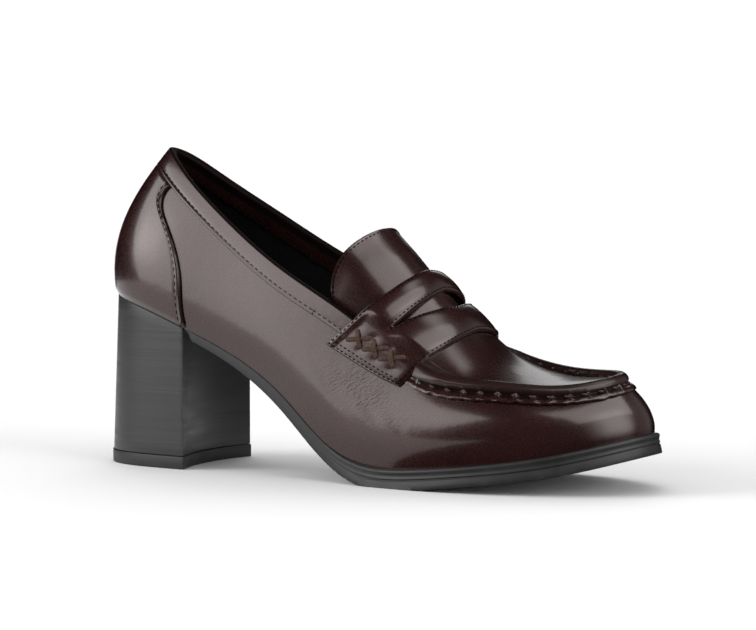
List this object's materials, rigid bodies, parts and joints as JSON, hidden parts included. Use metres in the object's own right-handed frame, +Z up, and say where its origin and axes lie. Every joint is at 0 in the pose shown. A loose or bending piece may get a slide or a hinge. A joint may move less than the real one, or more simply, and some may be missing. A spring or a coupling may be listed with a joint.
{
  "type": "block-heel penny loafer",
  "caption": "Right-foot penny loafer: hollow leather upper with saddle strap, tongue, sewn apron seam and bound collar, on a thin rubber sole with a tall block heel.",
  "frame": {"origin": "middle of the shoe's box in plan, on the floor that the heel and the ball of the sole stand on", "axes": "+X towards the toe, +Y towards the inner (medial) side, +Z up"},
  "size_m": [0.231, 0.0758, 0.1239],
  "materials": {
    "burgundy_leather": "polished, dark burgundy, fine grain under a clear glossy top coat",
    "black_rubber": "moulded, black, satin",
    "stacked_heel": "black, satin, with the fine level lines of stacked layers",
    "brown_thong": "waxed brown thong, dull",
    "black_sock": "matt black lining"
  },
  "bodies": {
    "root": {"outsole": "black_rubber", "heel_block": "stacked_heel", "heel_top_piece": "black_rubber", "insole": "black_sock", "upper": "burgundy_leather", "heel_counter": "burgundy_leather", "collar_binding": "burgundy_leather", "apron_seam": "burgundy_leather", "tongue": "burgundy_leather", "saddle_strap": "burgundy_leather", "lateral_tab_lacing": "brown_thong", "medial_tab_lacing": "brown_thong"}
  },
  "joints": []
}
